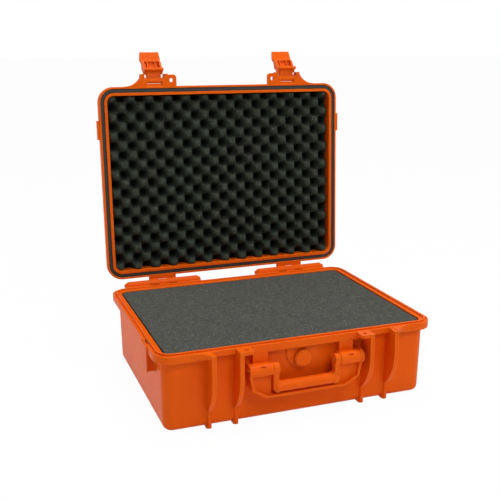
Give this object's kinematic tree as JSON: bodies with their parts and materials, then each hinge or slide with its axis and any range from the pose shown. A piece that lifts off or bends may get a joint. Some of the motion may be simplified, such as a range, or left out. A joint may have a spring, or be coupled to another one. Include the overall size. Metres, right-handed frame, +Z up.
{
  "type": "hard equipment case",
  "caption": "Moulded hard equipment case standing open, with a hinged gasketed lid, lever latches, folding handle, pressure valve and foam in both halves.",
  "frame": {"origin": "middle of the case on the plane of the feet", "axes": "+Z up, -Y towards the handle and latches, +X to the right seen from the front"},
  "size_m": [0.478, 0.4508, 0.5565],
  "materials": {
    "orange_plastic": "satin",
    "black_plastic": "satin",
    "seal": "matte",
    "grey_foam": "matte",
    "dark_foam": "matte",
    "steel": "satin"
  },
  "bodies": {
    "base": {"base_shell": "orange_plastic", "base_foam": "grey_foam", "base_foam_pad": "dark_foam", "hinge_pin_left": "steel", "hinge_pin_right": "steel", "handle_pin_left": "steel", "handle_pin_right": "steel", "valve_bush": "black_plastic", "valve_nut": "black_plastic"},
    "lid": {"lid_shell": "orange_plastic", "lid_gasket": "seal", "lid_foam": "dark_foam", "latch_left_lid_pin": "steel", "latch_right_lid_pin": "steel"},
    "latch_left_arm": {"latch_left_arm": "orange_plastic", "latch_left_lever_pin": "steel"},
    "latch_left_lever": {"latch_left_lever": "orange_plastic"},
    "latch_right_arm": {"latch_right_arm": "orange_plastic", "latch_right_lever_pin": "steel"},
    "latch_right_lever": {"latch_right_lever": "orange_plastic"},
    "handle": {"handle": "orange_plastic"},
    "valve_knob": {"valve_knob": "orange_plastic", "valve_o_ring": "seal"}
  },
  "joints": [
    {"name": "lid_hinge", "type": "hinge", "parent": "base", "child": "lid", "pos_m": [0, 0.1903, 0.13], "axis": [-1, 0, 0], "range_deg": [-93, 0]},
    {"name": "latch_left_arm_pivot", "type": "hinge", "parent": "lid", "child": "latch_left_arm", "pos_m": [-0.131, 0.21604, 0.50647], "axis": [-1, 0, 0], "range_deg": [-110, 0]},
    {"name": "latch_left_lever_pivot", "type": "hinge", "parent": "latch_left_arm", "child": "latch_left_lever", "pos_m": [-0.131, 0.22268, 0.52212], "axis": [-1, 0, 0], "range_deg": [0, 92]},
    {"name": "latch_right_arm_pivot", "type": "hinge", "parent": "lid", "child": "latch_right_arm", "pos_m": [0.131, 0.21604, 0.50647], "axis": [-1, 0, 0], "range_deg": [-110, 0]},
    {"name": "latch_right_lever_pivot", "type": "hinge", "parent": "latch_right_arm", "child": "latch_right_lever", "pos_m": [0.131, 0.22268, 0.52212], "axis": [-1, 0, 0], "range_deg": [0, 92]},
    {"name": "handle_pivot", "type": "hinge", "parent": "base", "child": "handle", "pos_m": [0, -0.1855, 0.0925], "axis": [-1, 0, 0], "range_deg": [-12, 170]},
    {"name": "valve_turn", "type": "hinge", "parent": "base", "child": "valve_knob", "pos_m": [0, -0.177, 0.097], "axis": [0, -1, 0], "range_deg": [0, 180]}
  ]
}
